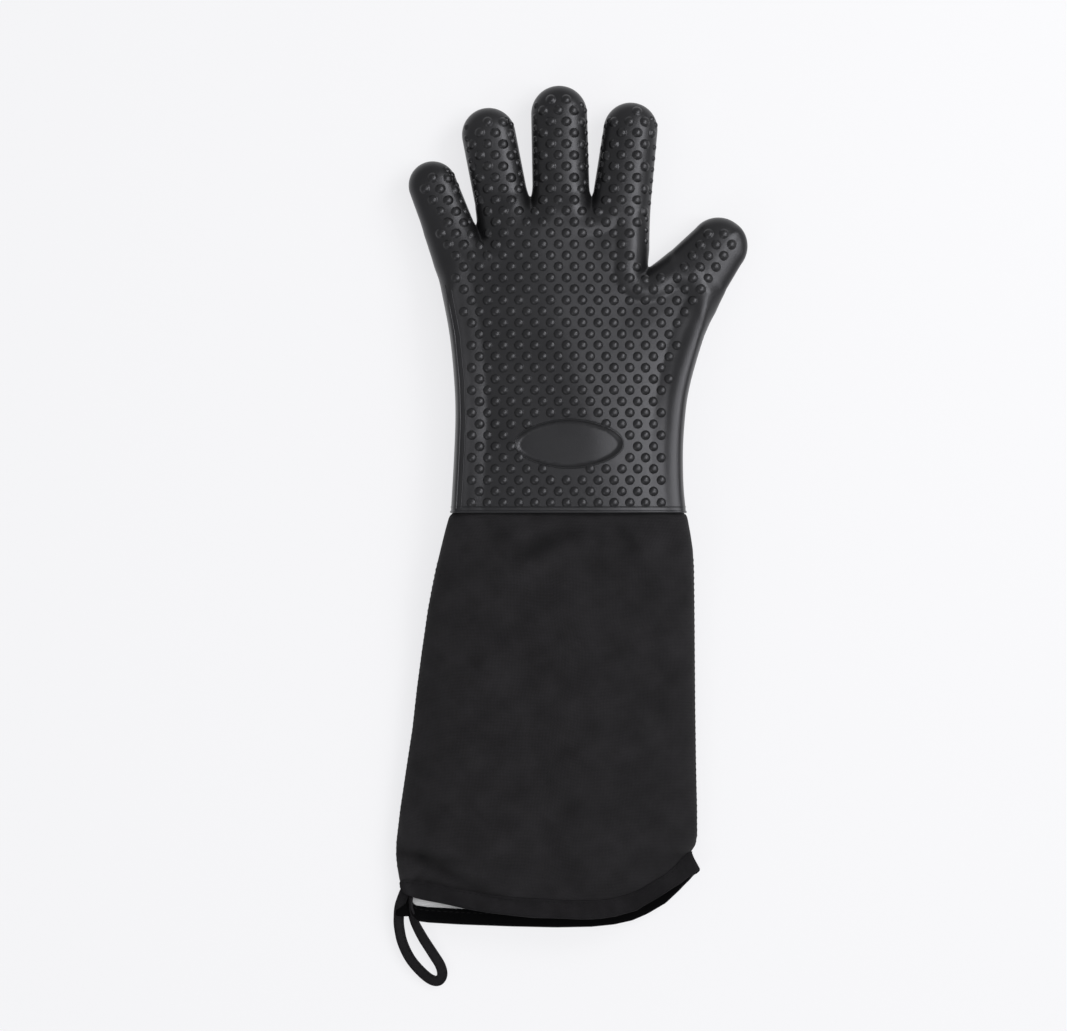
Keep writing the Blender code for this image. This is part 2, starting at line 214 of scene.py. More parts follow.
# The thumb's outer side continues that shelf: how squarely it rounds over, from how far out
FINGER_POWER, THUMB_POWER, THUMB_SIDE = 2.3, 4.6, 7.0
SHELF_THUMB = ((0, 0.78), (3, 0.83), (6, 0.87), (10, 0.92), (16, 1.0), (30, 1.0))
CREST = ((190, -26.0), (60, 17.0))  # the palm's highest line, as y and x at its two ends
CREST_DROP, CREST_WIDTH, CREST_RISE = 0.10, 9.0, 1.4
CREST_AT_WRIST = 0.35  # share of the fall beside the crest that is left at the wrist
CREST_AT_EDGE, CREST_EDGE = 0.5, 30  # and at the little finger's edge, and how far left that is
RIM_Y = WRIST_Y + 1.3  # top of the bead that edges the wrist
NET_STEP = 1.1
LINER_STEP = 2.6
LINER_DEPTH = 2.6  # how far the liner lies inside the silicone's surface
GRID_LOW, GRID_HIGH = (-108.0, 5.0, -3.0), (112.0, 276.0, 38.0)
FIELD_SCALE = 17  # brings the palm's field to about one unit a millimetre
FAR_OUTSIDE = -9.0
FINGER_SPARE, ROOT_SPARE = 0.3, 0.6  # a finger's volume is wider, and higher at its root
FINGER_MELT, PALM_MELT = 2.0, 4.0  # how softly the fingers run into each other and the palm


def outline():
    """The palm's outline as one closed line."""
    left, right = smooth_curve(PALM_LEFT, 6), smooth_curve(PALM_RIGHT, 6)
    return np.concatenate([left, np.array(PALM_WEBS), right])


def inside_distance(px, py, polygon):
    """Distance to the polygon's edge, positive inside."""
    best = np.full(px.shape, 1e9)
    odd = np.zeros(px.shape, bool)
    for (ax, ay), (bx, by) in zip(polygon, np.roll(polygon, -1, 0)):
        ex, ey = bx - ax, by - ay
        t = np.clip(((px - ax) * ex + (py - ay) * ey) / (ex * ex + ey * ey), 0, 1)
        best = np.minimum(best, np.hypot(px - ax - t * ex, py - ay - t * ey))
        crosses = ((ay > py) != (by > py)) & (px < ex * (py - ay) / (ey + 1e-12) + ax)
        odd ^= crosses
    return np.where(odd, best, -best)


def smooth_max(a, b, width):
    """The greater of two fields, with the crease between them filled."""
    h = np.clip(width - np.abs(a - b), 0, None) / width
    return np.maximum(a, b) + h * h * width / 4


def crest_fall(x, y):
    """How much lower the palm lies away from its crest."""
    (y1, x1), (y0, x0) = CREST
    line = x0 + (x1 - x0) * (np.clip(y, y0, y1) - y0) / (y1 - y0)
    drop = CREST_DROP * np.interp(y, (15, y0), (CREST_AT_WRIST, 1))
    return drop * (np.sqrt((x - line) ** 2 + CREST_WIDTH ** 2) - CREST_WIDTH)


def smooth_table(table, value):
    """Values read from a table of pairs through a smooth curve."""
    line = smooth_curve(table, 6)
    return np.interp(value, line[:, 0], line[:, 1])


def long_side(x, y):
    """1 beside the palm's long sides, fading to 0 towards the fingers."""
    (left_from, left_to), (right_from, right_to) = SIDE_ENDS
    start = np.where(x < 0, left_from, right_from)
    end = np.where(x < 0, left_to, right_to)
    return smooth_step(np.clip((start - y) / (start - end), 0, 1))


def hand_field(step):
    """The smooth hand as a field on a grid, positive inside, and the grid's corner."""
    lo = np.array(GRID_LOW)
    x, y, z = (np.arange(lo[i], GRID_HIGH[i], step) for i in range(3))
    px, py = np.meshgrid(x, y, indexing="ij")
    edge = inside_distance(px, py, outline())
    middle, half = (np.interp(py, *table) for table in (PALM_MIDDLE, PALM_HALF))
    at_edge = CREST_AT_EDGE * np.clip(-px / CREST_EDGE, 0, 1)
    inland = at_edge + (1 - at_edge) * np.clip(edge / SHOULDER, 0, 1) ** 2
    shelf = long_side(px, py)
    share = np.where(px < 0, smooth_table(SHELF_LEFT, edge), smooth_table(SHELF_RIGHT, edge))
    share = 1 - shelf * (1 - share)
    top = (half + CREST_RISE - crest_fall(px, py) * inland) * share
    low = np.minimum(half, middle - BUMP_HEIGHT)
    over = z[None, None, :] - middle[:, :, None]
    rise = np.abs(over) / np.where(over > 0, top[:, :, None], low[:, :, None])
    rim = SHOULDER + (SIDE_SHOULDER - SHOULDER) * shelf
    rim = np.clip(1 - edge / rim, 0, None)[:, :, None]
    palm = (rim ** SHOULDER_POWER + rise ** SHOULDER_POWER) ** (1 / SHOULDER_POWER)
    palm = (1 - palm) * FIELD_SCALE
    fingers = np.full_like(palm, FAR_OUTSIDE)
    for finger in FINGERS.values():
        depth, wide = FINGER_ROOTS[finger.name]
        rx, ry = px - finger.root[0], py - finger.root[1]
        u = rx * finger.along[0] + ry * finger.along[1]
        v = rx * finger.across[0] + ry * finger.across[1]
        radius = np.interp(u, (-depth, 0, finger.tip),
                           (wide, finger.root_half + FINGER_SPARE, finger.tip_half + FINGER_SPARE))
        reach = np.hypot(v, np.clip(u - finger.tip, 0, None) + np.clip(-depth - u, 0, None))
        high = np.interp(u, (-depth, finger.tip),
                         (finger.half_height + ROOT_SPARE, finger.half_height))[:, :, None]
        over = (z - finger.centre_z)[None, None, :]
        high = np.where(over > 0, high, np.minimum(high, finger.centre_z - BUMP_HEIGHT))
        outer = np.clip(v / THUMB_SIDE, 0, 1) if finger.name == "thumb" else 0 * v
        power = (FINGER_POWER + (THUMB_POWER - FINGER_POWER) * outer)[:, :, None]
        slant = 1 - outer * (1 - smooth_table(SHELF_THUMB, np.clip(radius - reach, 0, None)))
        high = high * slant[:, :, None]
        q = ((reach / radius)[:, :, None] ** power + (np.abs(over) / high) ** power) ** (1 / power)
        fingers = smooth_max(fingers, (1 - q) * finger.half_height, FINGER_MELT)
    return smooth_max(palm, fingers, PALM_MELT), lo


def sample(grid, spots):
    """Values of a grid at fractional places, by trilinear blending."""
    base = np.clip(np.floor(spots).astype(int), 0, np.array(grid.shape[:3]) - 2)
    part = spots - base
    total = 0
    for corner in np.ndindex(2, 2, 2):
        weight = np.prod([part[:, k] if corner[k] else 1 - part[:, k] for k in range(3)], axis=0)
        i, j, k = (base[:, n] + corner[n] for n in range(3))
        value = grid[i, j, k]
        total = total + (weight[:, None] * value if value.ndim > 1 else weight * value)
    return total


ROW_PITCH, BUMP_PITCH = 6.65, 9.35
FIRST_ROW_Y, FIRST_BUMP_X = 21.0, -2.2
LAST_ROW_Y, LATTICE_HALF = 272, 13  # the lattice's end, and its columns left and right
BUMP_RADIUS, BUMP_HEIGHT = 2.85, 1.35
BUMP_TILT = 0.62  # bumps of the lattice stand where the skin faces up at least this much
SIDE_BUMP = 0.66  # size of the bumps on the fingers' sides, of the others' size
SIDE_ANGLES = ((58, 122), (67, 113))  # where they stand round the finger, row by row, from the top
SIDE_FROM, SIDE_FROM_INDEX = 3, -26  # they start here, further down beside the thumb
SIDE_NARROWEST = 9  # and end where the finger is narrower than this
SIDE_GAP = 1.45  # least distance between bumps, of their radius
CAP_SIDES = 14
CAP_PROFILE = ((1.16, -0.16), (0.98, 0.08), (0.86, 0.40), (0.66, 0.70), (0.36, 0.93))
PALM_BAND = (9.6, 11.6)  # smooth band along the palm's left and right sides
BAND_ENDS = (172, 140)  # and how far up it runs on each
LITTLE_BAND = 6.5  # along the little finger's outer side
THUMB_BAND = 6.8  # and along the thumb's
THUMB_HEEL = (-20, 27)  # where the thumb's heel is, and its half width
TIP_BAND = 4.6  # smooth rim of each finger's end
OVAL = (-0.8, 55.8, 31.6, 13.8)  # centre and half sizes of the blank oval
OVAL_POWERS = (1.75, 1.95)  # how pointed it is along and across
OVAL_CLEAR = 2.1  # bumps keep this far from it
OVAL_RECESS, OVAL_SLOPE = 1.8, 0.10


def oval_value(x, y, grow=0.0):
    """Below 1 inside the oval, whose ends are slightly pointed."""
    cx, cy, a, b = OVAL
    p, q = OVAL_POWERS
    return np.abs((x - cx) / (a + grow)) ** p + np.abs((y - cy) / (b + grow)) ** q


class Skin:
    """The bare hand: its points, faces and field, and where lines meet it."""

    def __init__(self, step, depth=0.0):
        self.field, self.origin = hand_field(step)
        self.field = self.field - depth
        self.step = step
        self.slope = np.stack(np.gradient(self.field, step), -1)
        points, self.quads = surface_net(self.field, self.origin, step)
        self.points, self.normals = self.settle(points)
        self.tree = BVHTree.FromPolygons(self.points.tolist(), self.quads.tolist())

    def settle(self, points, steps=3):
        """Move points onto the field's zero surface, and give the outward normals there."""
        for _ in range(steps):
            spots = (points - self.origin) / self.step
            grade = sample(self.slope, spots)
            size = np.maximum((grade ** 2).sum(1), 1e-6)
            shift = np.clip(sample(self.field, spots) / size, -0.6, 0.6)
            points = points - shift[:, None] * grade
        grade = sample(self.slope, (points - self.origin) / self.step)
        return points, -grade / np.maximum(np.linalg.norm(grade, axis=1)[:, None], 1e-9)

    def drop(self, spots, side=1):
        """Where vertical lines through plan points first meet the skin, from above or below."""
        found = []
        for x, y in spots:
            hit = self.tree.ray_cast((x, y, 60.0 * side), (0, 0, -side))[0]
            if hit is not None:
                found.append(tuple(hit))
        return self.settle(np.array(found)) if found else (np.zeros((0, 3)), np.zeros((0, 3)))


def lattice_bumps(skin):
    """A staggered lattice on both faces, clear of the smooth bands and the oval."""
    polygon = outline()
    lattice = np.array([(FIRST_BUMP_X + (column + 0.5 * (row % 2)) * BUMP_PITCH,
                         FIRST_ROW_Y + row * ROW_PITCH)
                        for row in range(int((LAST_ROW_Y - FIRST_ROW_Y) / ROW_PITCH) + 1)
                        for column in range(-LATTICE_HALF, LATTICE_HALF + 1)])
    for side in (1, -1):
        points, normals = skin.drop(lattice, side)
        keep = normals[:, 2] * side > BUMP_TILT
        edge = inside_distance(points[:, 0], points[:, 1], polygon)
        left = points[:, 0] < 0
        keep &= ~((points[:, 1] < np.where(left, *BAND_ENDS)) & (edge < np.where(left, *PALM_BAND)))
        keep &= ~in_thumb_band(points) & ~in_finger_tip(points) & ~in_little_band(points)
        if side > 0:
            keep &= oval_value(points[:, 0], points[:, 1], OVAL_CLEAR) > 1
        yield points[keep], normals[keep], np.ones(keep.sum())


def side_bumps(skin):
    """Short rows of smaller bumps down the fingers' sides."""
    spots = []
    for finger in FINGERS.values():
        for turn in (-1, 1):
            if finger.name == "thumb" or (finger.name == "little" and turn < 0):
                continue
            first = SIDE_FROM_INDEX if finger.name == "index" and turn > 0 else SIDE_FROM
            for k in range(int((finger.length - SIDE_FROM - first) / (ROW_PITCH / 2))):
                u = first + k * ROW_PITCH / 2
                taper = finger.tip_half - finger.root_half
                wide = finger.root_half + taper * min(1, u / finger.tip)
                if u > finger.tip:
                    wide = math.sqrt(max(0.0, finger.tip_half ** 2 - (u - finger.tip) ** 2))
                if wide < SIDE_NARROWEST:
                    continue
                for angle in SIDE_ANGLES[k % 2]:
                    a = math.radians(angle)
                    out = finger.across * turn * wide * math.sin(a)
                    spots.append((*(finger.root + finger.along * u + out),
                                  finger.centre_z + finger.half_height * math.cos(a)))
    points, normals = skin.settle(np.array(spots), 8)
    keep = np.abs(normals[:, 2]) < BUMP_TILT + 0.02
    return points[keep], normals[keep], np.full(keep.sum(), SIDE_BUMP)


def bump_spots(skin):
    """Where the grip bumps stand, how they face and how large they are."""
    found = [*lattice_bumps(skin), side_bumps(skin)]
    points, normals, sizes = (np.concatenate(part) for part in zip(*found))
    keep = clear_of_others(points, sizes)
    return points[keep], normals[keep], sizes[keep]


def in_thumb_band(points):
    """True near the thumb's sides and tip."""
    thumb = FINGERS["thumb"]
    u, v = thumb.uv(points)
    heel_u, heel_half = THUMB_HEEL
    half = np.interp(u, (heel_u, 0, thumb.tip), (heel_half, thumb.root_half, thumb.tip_half))
    reach = np.hypot(v, np.clip(u - thumb.tip, 0, None))
    near = (u > heel_u + 4) & (np.abs(v) < 40)
    return near & (reach > half - THUMB_BAND) & ((v > 0) | (u > 2))


def in_little_band(points):
    """True along the little finger's outer side."""
    little = FINGERS["little"]
    u, v = little.uv(points)
    half = np.interp(u, (0, little.tip), (little.root_half, little.tip_half))
    return (u > -14) & (v < LITTLE_BAND - half) & (v > -half - 6)


def in_finger_tip(points):
    """True on the smooth rim of a finger's round end."""
    found = np.zeros(len(points), bool)
    for finger in FINGERS.values():
        u, v = finger.uv(points)
        reach = np.hypot(u - finger.tip, v) - finger.tip_half
        found |= (u > finger.tip) & (reach > -TIP_BAND) & (reach < 4)
    return found


def clear_of_others(points, sizes):
    """Drop a side bump that would run into one already standing."""
    keep = np.ones(len(points), bool)
    for i in np.nonzero(sizes < 1)[0]:
        gaps = np.linalg.norm(points[:i][keep[:i]] - points[i], axis=1)
        keep[i] = not len(gaps) or gaps.min() > BUMP_RADIUS * SIDE_GAP
    return keep


def bump_caps(centres, normals, sizes):
    """A low round cap, with a soft foot that runs into the skin, on every centre."""
    turns = [math.tau * k / CAP_SIDES for k in range(CAP_SIDES)]
    points, faces = [], []
    for centre, normal, size in zip(centres, normals, sizes):
        side = unit(np.cross(normal, (0.0, 1.0, 0.0)))
        ahead = np.cross(side, normal)
        faces += tube_faces(len(points), len(CAP_PROFILE), CAP_SIDES)
        for reach, rise in CAP_PROFILE:
            for a in turns:
                out = (side * math.cos(a) + ahead * math.sin(a)) * reach * BUMP_RADIUS * size
                points.append(centre + out + normal * rise * BUMP_HEIGHT * size)
        last = len(points) - CAP_SIDES
        points.append(centre + normal * BUMP_HEIGHT * size)
        faces += [(last + k, last + (k + 1) % CAP_SIDES, len(points) - 1) for k in range(CAP_SIDES)]
    return np.array(points), faces


def shape_skin(points, normals):
    """Sink the oval's field below the palm."""
    inner = np.clip((1.0 - oval_value(points[:, 0], points[:, 1])) / OVAL_SLOPE, 0, 1)
    top = np.clip((normals[:, 2] - 0.5) * 4, 0, 1)
    return points - normals * (top * inner * OVAL_RECESS)[:, None]


BEAD_PROFILE = ((-1.0, -0.25), (-0.6, 0.55), (0.0, 1.0), (0.6, 0.55), (1.0, -0.25))
OVAL_BEAD, WRIST_BEAD, RIB = (1.2, 0.7), (0.9, 0.4), (0.9, 0.35)  # widths and heights
WRIST_LINE = 3.6  # the line round the wrist lies this far above it
WRIST_MIDDLE, WRIST_HALF = (-0.9, 17), (69, 16.6)  # the wrist's middle and half sizes, x and z
RIBS = ((3.2, 17.5, 150), (6.2, 17.5, 147))  # distance in from the edge, and both ends


def bead(part, path, normals, wide, high, closed=False):
    """Lay a low rounded ridge on the skin along a path."""
    count = len(path)
    rows = []
    for i in range(count):
        if closed:
            ahead = path[(i + 1) % count] - path[i - 1]
        else:
            ahead = path[min(i + 1, count - 1)] - path[max(i - 1, 0)]
        side = np.cross(unit(ahead), normals[i])
        rows.append([part.verts.new(path[i] + side * u * wide / 2 + normals[i] * v * high)
                     for u, v in BEAD_PROFILE])
    for i in range(count if closed else count - 1):
        low, far = rows[i], rows[(i + 1) % count]
        for k in range(len(BEAD_PROFILE) - 1):
            part.faces.new((low[k], low[k + 1], far[k + 1], far[k]))


def add_beads(part, skin):
    """The oval's raised border, the line round the wrist and the ribs beside the little finger."""
    turns = np.linspace(0, math.tau, 140, endpoint=False)
    cx, cy, wide, high = OVAL
    c, d = np.cos(turns), np.sin(turns)
    ring = np.stack([cx + np.sign(c) * np.abs(c) ** (2 / OVAL_POWERS[0]) * (wide + 0.4),
                     cy + np.sign(d) * np.abs(d) ** (2 / OVAL_POWERS[1]) * (high + 0.4)], 1)
    bead(part, *skin.drop(ring), *OVAL_BEAD, True)
    (mx, mz), (half_x, half_z) = WRIST_MIDDLE, WRIST_HALF
    middle = np.array((mx, WRIST_Y + WRIST_LINE, mz))
    hits = []
    for a in turns:
        around = middle + (half_x * math.cos(a), 0, half_z * math.sin(a))
        start = around + (around - middle) * 0.4
        hit = skin.tree.ray_cast(start, Vector(middle) - Vector(start))[0]
        if hit is not None:
            hits.append(tuple(hit))
    bead(part, *skin.settle(np.array(hits)), *WRIST_BEAD, True)
    edge_x, edge_y = zip(*PALM_LEFT)
    for inset, y0, y1 in RIBS:
        rib = [(float(np.interp(y, edge_y, edge_x)) + inset, y) for y in np.linspace(y0, y1, 90)]
        bead(part, *skin.drop(rib), *RIB)


def finger_of(points):
    """Which finger each point belongs to, -1 for the palm."""
    owner = np.full(len(points), -1)
    for number, finger in enumerate(FINGERS.values()):
        u, v = finger.uv(points)
        owner[(u > -WEB_BACK[finger.name]) & (np.abs(v) < finger.root_half + WEB_SPARE)] = number
    return owner


def cut_hand(points, quads):
    """Split a hand-shaped skin at the webs into the palm and five fingers, with clean edges."""
    whole = bmesh.new()
    mesh = bpy.data.meshes.new("whole")
    mesh.from_pydata(points.tolist(), [], quads.tolist())
    whole.from_mesh(mesh)
    bpy.data.meshes.remove(mesh)
    bmesh.ops.bisect_plane(whole, geom=whole.verts[:] + whole.edges[:] + whole.faces[:], dist=1e-4,
                           plane_co=(0, RIM_Y, 0), plane_no=(0, -1, 0), clear_outer=True)
    for finger in FINGERS.values():
        along, across = Vector((*finger.along, 0)), Vector((*finger.across, 0))
        origin = Vector((*finger.root, 0)) - along * WEB_BACK[finger.name]
        faces = []
        for face in whole.faces:
            reach = face.calc_center_median() - origin
            near = abs(reach.dot(across)) < finger.root_half + WEB_SPARE
            if near and abs(reach.dot(along)) < 5:
                faces.append(face)
        rims = {v for f in faces for v in f.verts} | {e for f in faces for e in f.edges}
        bmesh.ops.bisect_plane(whole, geom=[*rims, *faces], dist=1e-4, plane_co=origin,
                               plane_no=along)
    owner = finger_of(np.array([f.calc_center_median() for f in whole.faces]))
    # both sides of a cut keep the uncut skin's normals there, so that no line shows between them
    whole.normal_update()
    facing = whole.verts.layers.float_vector.new("facing")
    for vert in whole.verts:
        if len({owner[f.index] for f in vert.link_faces}) > 1:
            vert[facing] = vert.normal
    parts = {}
    for number, name in enumerate(HAND_PARTS, -1):
        part = whole.copy()
        part.faces.ensure_lookup_table()
        gone = [part.faces[i] for i in np.nonzero(owner != number)[0]]
        bmesh.ops.delete(part, geom=gone, context="FACES")
        parts[name] = part
    whole.free()
    return parts


def add_caps(parts, centres, normals, sizes):
    """Join each bump to the piece whose skin it stands on."""
    owner = finger_of(centres)
    for number, name in enumerate(HAND_PARTS, -1):
        mine = owner == number
        points, faces = bump_caps(centres[mine], normals[mine], sizes[mine])
        made = [parts[name].verts.new(p) for p in points]
        for face in faces:
            parts[name].faces.new([made[i] for i in face])


def finish_piece(name, part, material):
    """An object from a bmesh in millimetres, keeping its rest places for the material."""
    mesh = bpy.data.meshes.new(name)
    part.to_mesh(mesh)
    part.free()
    mesh.transform(Matrix.Scale(MM, 4))
    mesh.materials.append(material)
    mesh.shade_smooth()
    keep_rest(mesh)
    facing = np.zeros(len(mesh.vertices) * 3, np.float32)
    mesh.attributes["facing"].data.foreach_get("vector", facing)
    mesh.attributes.remove(mesh.attributes["facing"])
    mesh.normals_split_custom_set_from_vertices(facing.reshape(-1, 3).tolist())
    return add_object(name, mesh)


def keep_rest(mesh, places=None):
    """Store where each vertex lies on the uncut surface, so that a texture stays put in a bend."""
    rest = mesh.attributes.new("rest", "FLOAT_VECTOR", "POINT")
    if places is None:
        places = np.array([v.co for v in mesh.vertices])
    rest.data.foreach_set("vector", np.asarray(places, np.float32).ravel())


def keep_wear_and_shade(mesh, tone):
    """Store each vertex's tone: random wear, with painted shade in the folds' valleys and along the
    lower right edge and a painted highlight on the folds' ridges.
    """
    wear_and_painted_shade = mesh.attributes.new("wear_and_painted_shade", "FLOAT", "POINT")
    wear_and_painted_shade.data.foreach_set("value", np.asarray(tone, np.float32))


# The wrist's edge, ring by ring: how far inward and up each one goes from the last
RIM_PROFILE = ((-0.45, 0.0), (-0.1, -0.3), (0.0, -0.7), (0.25, -0.3), (1.4, 0.0), (0.3, 0.5),
               (0.25, 9.0))


def turn_rim(part):
    """Give the wrist edge its real thickness: the edge rounds under and runs back up inside."""
    edges = [e for e in part.edges
             if e.is_boundary and all(abs(v.co.y - RIM_Y) < 0.01 for v in e.verts)]
    middle_x, middle_z = WRIST_MIDDLE
    for inward, rise in RIM_PROFILE:
        made = bmesh.ops.extrude_edge_only(part, edges=edges)["geom"]
        edges = [g for g in made if isinstance(g, bmesh.types.BMEdge)]
        for v in [g for g in made if isinstance(g, bmesh.types.BMVert)]:
            away = Vector(((v.co.x - middle_x) / 70 ** 2, 0, (v.co.z - middle_z) / 17 ** 2))
            v.co -= away.normalized() * inward
            v.co.y += rise


def place_hand(parts, prefix, material, replaced):
    """Make the objects, ride the palm on the hand and bake each finger's place into its mesh."""
    made = []
    for name, part in parts.items():
        piece = finish_piece(f"{prefix}_{name}", part, material)
        if name == "palm":
            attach(piece, "hand")
        else:
            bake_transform(piece)
        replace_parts(piece, *replaced(name))
        made.append(piece)
    return made


def silicone_hand(material):
    """The silicone skin with its bumps, beads and turned wrist edge."""
    skin = Skin(NET_STEP)
    parts = cut_hand(shape_skin(skin.points, skin.normals), skin.quads)
    turn_rim(parts["palm"])
    add_beads(parts["palm"], skin)
    add_caps(parts, *bump_spots(skin))
    place_hand(parts, "skin", material, lambda name: ["silicone_" + name])


def liner_hand(material):
    """The insulating liner, a second skin inside the first."""
    skin = Skin(LINER_STEP, LINER_DEPTH)
    parts = cut_hand(skin.points, skin.quads)
    palm = ["liner_palm_front", "liner_palm_back", "hand_wadding_front", "hand_wadding_back"]
    for piece in place_hand(parts, "inner_glove", material,
                            lambda name: palm if name == "palm" else ["liner_" + name]):
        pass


# ---- canvas cuff
# The cuff's left and right edges seen from above, as y and x
CUFF_LEFT = ((24, -66.5), (16.2, -67.6), (14.2, -71.0), (12, -72.2), (5, -74.2), (-7, -77.2),
             (-19, -80.1), (-31, -82.6), (-43, -84.9), (-67, -88.5), (-90, -91.6), (-114, -94.3),
             (-138, -98.0), (-162, -101.6), (-182, -104.0), (-190, -104.2), (-197, -103.5),
             (-204, -102.3), (-212, -100.2), (-232, -98))
CUFF_RIGHT = ((24, 64.6), (16.2, 65.6), (14.2, 69.0), (12, 70.0), (2, 71.9), (-7, 73.3),
              (-19, 74.0), (-55, 74.7), (-103, 75.2), (-138, 75.8), (-162, 76.4), (-178, 76.5),
              (-184, 75.4), (-188.5, 72.6), (-192, 73.8), (-199, 77.6), (-204, 78.0), (-232, 78))
# The cuff's side seams and top, as y, height of the seams and height of the top
CUFF_HEIGHTS = ((24, 17, 27.5), (16.2, 17, 29.6), (14.2, 17, 31.6), (12, 16.8, 33.5),
                (0, 16.2, 33.9), (-20, 15, 33.6), (-43, 13.5, 32.8), (-90, 11.2, 31.0),
                (-138, 9.6, 29.0), (-186, 8.6, 27.6), (-232, 8.2, 25.6))
UNDERSIDE = 1.75
# The mouth's edges from left to right, as x and y: the front panel stops short of the back one
HEM_FRONT = ((-101, -210.8), (-97, -212.6), (-93.9, -213.4), (-80, -215.8), (-62.6, -219.2),
             (-50, -221.3), (-23.8, -223.8), (3.9, -225.0), (18, -224.6), (26, -223.6),
             (38.9, -220.0), (51.9, -213.0), (66.2, -204.6), (73, -200.0), (76, -198.2),
             (79, -197.5))
HEM_BACK = ((-101, -212.0), (-100.3, -219.5), (-98.4, -225.0), (-94.5, -228.2), (-87.3, -229.3),
            (-69.5, -230.6), (-36.7, -231.8), (-9.3, -232.4), (12, -232.0), (26, -230.6),
            (37, -228.2), (47, -224.0), (57.9, -217.6), (66, -210.0), (72.2, -203.6),
            (76.5, -199.2), (79, -198.0))
HEM_X = (-100.6, 78.0)
CUFF_POWER, CUFF_POWER_REACH = (4.6, 2.15), 75  # how square it is at the wrist and below it
CUFF_TOP_Y = 22.0  # the canvas runs this far up inside the silicone
COLUMNS = 264  # round the cuff, a multiple of four
HEM_ROWS, BODY_ROWS = 16, 150  # rows one millimetre apart above the hem, and rows over the rest
CANVAS, WALL, BINDING = 0.8, 4.6, 0.75
BINDING_ROWS, BINDING_INSIDE_ROWS = 10, 8
BINDING_TAPER, TAPER_COLUMNS = 0.72, 24  # it narrows by this share at the mouth's left corner
BINDING_LIP, BINDING_EDGE = 0.12, 0.82  # height of its cut edge, share of its thickness there
HEM_STITCHES = BINDING_ROWS - 1.6  # rows up to the stitches that hold it, in a slight groove
SEAM_PULL, SEAM_REACH = 0.7, 1.3  # the side seams pull the canvas in, over so many columns
QUILT_DEPTH, QUILT_PITCH = 0.35, 14
STITCH = (2.5, 3.6)  # length and pitch

# Folds of the front: their two ends, height (below 0 for a valley) and width
CUFF_FOLDS = (
    # from the mouth's left corner, and the tuck beside the thumb side's seam
    (((-100, -213), (-80, -198)), 2.6, 2.0), (((-103, -188), (-60, -193)), -3.2, 3.4),
    (((-88, -191), (-30, -222)), -3.0, 3.8), (((-98, -203), (-86, -197)), 1.4, 4.0),
    (((-102, -177), (-40, -200)), 1.6, 7.0), (((-92, -203), (-20, -219)), -1.6, 1.8),
    (((74, -188.5), (40, -196)), -1.6, 3.2), (((74, -180), (36, -186)), 0.9, 5.0),
    # slanting below the wrist
    (((-5, 2), (-46, -19)), -3.0, 4.0), (((-8, 10), (-52, -9)), 1.8, 4.5),
    (((4, -8), (-40, -30)), 1.7, 5.0), (((30, 4), (44, -24)), -1.3, 4.5),
    (((-40, 2), (-70, -30)), -1.3, 5.0), (((52, -4), (20, -40)), 1.1, 7.0),
    (((2, 10), (-2, -14)), -1.8, 3.6))
FOLD_END = 0.85  # share of a fold's height that is gone at its second point
SWELL, CALM_LENGTH = 1.3, 60  # the slow swelling, and how far below the wrist it is whole
GATHER, GATHER_HALF = 0.35, 13 # puckers where the silicone's edge gathers the canvas
EDGE_SHADE = 9.0  # painted shade: the colour darkens over this distance up from the lower right edge, where the cloth turns down


def curve(table, value, column=1):
    """Values read from one column of a table."""
    rows = np.array(sorted(table))
    return np.interp(value, rows[:, 0], rows[:, column])


def fold_line(x, y, ends, width):
    """1 along a line between two points, less to either side and towards the second point."""
    (ax, ay), (bx, by) = ends
    dx, dy = bx - ax, by - ay
    along = ((x - ax) * dx + (y - ay) * dy) / (dx * dx + dy * dy)
    t = np.clip(along, 0, 1)
    gap = np.hypot(x - ax - t * dx, y - ay - t * dy)
    return np.exp(-(gap / width) ** 2) * (1 - FOLD_END * t)


def ripple(x, y, seed):
    """A slow, irregular swelling of the cloth, about plus or minus one."""
    rng = np.random.default_rng(seed)
    total = 0
    for scale in (70, 46, 31, 22):
        a, phase, turn = rng.uniform(0, math.tau, 3)
        u = (x * math.cos(turn) + y * math.sin(turn)) / scale
        v = (-x * math.sin(turn) + y * math.cos(turn)) / (scale * 1.7)
        wave = np.sin(math.tau * u + phase) * np.cos(math.tau * v + a)
        total = total + wave * (scale / 70) ** 0.6
    return total / 1.8


